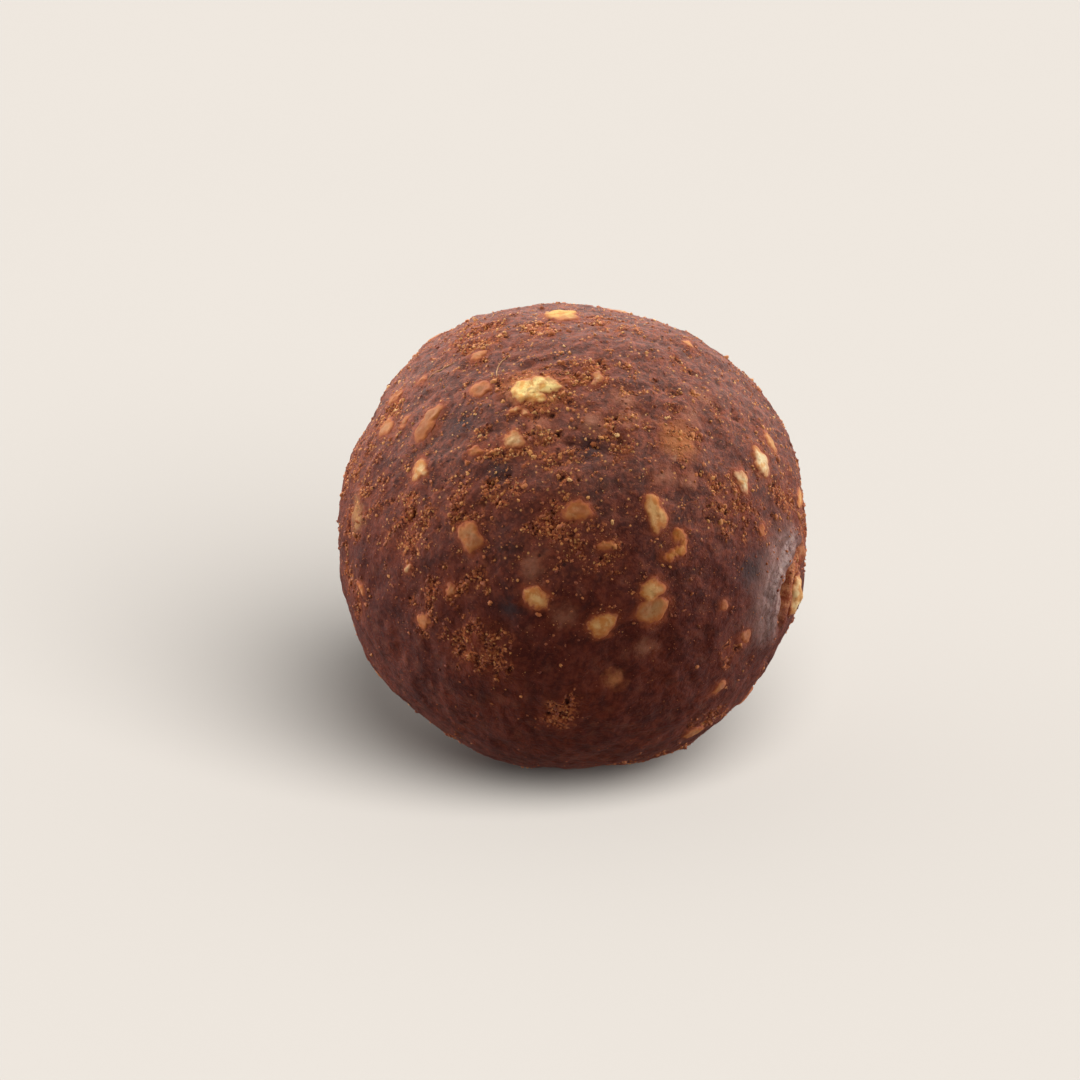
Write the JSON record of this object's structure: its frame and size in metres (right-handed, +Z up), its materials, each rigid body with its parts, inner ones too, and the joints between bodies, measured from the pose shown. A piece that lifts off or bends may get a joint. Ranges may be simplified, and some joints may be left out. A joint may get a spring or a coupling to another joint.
{
  "type": "energy ball",
  "caption": "Hand-rolled ball of dark date and cocoa paste with chopped nut chips pressed into its uneven skin, resting on a small flat spot.",
  "frame": {"origin": "middle of the ball's footprint, on the surface that it rests on", "axes": "+Z up, away from the flat spot; -Y towards the side that the picture shows; +X to that side's right"},
  "size_m": [0.0424, 0.0432, 0.0417],
  "materials": {
    "paste": "smeared date and cocoa paste, satin with dull crumbly patches",
    "nut": "chopped nut, cream to tan, dull and slightly see-through",
    "crumb": "ground nut and cocoa grains, dull orange brown"
  },
  "bodies": {
    "root": {"energy_ball": "paste"}
  },
  "joints": []
}
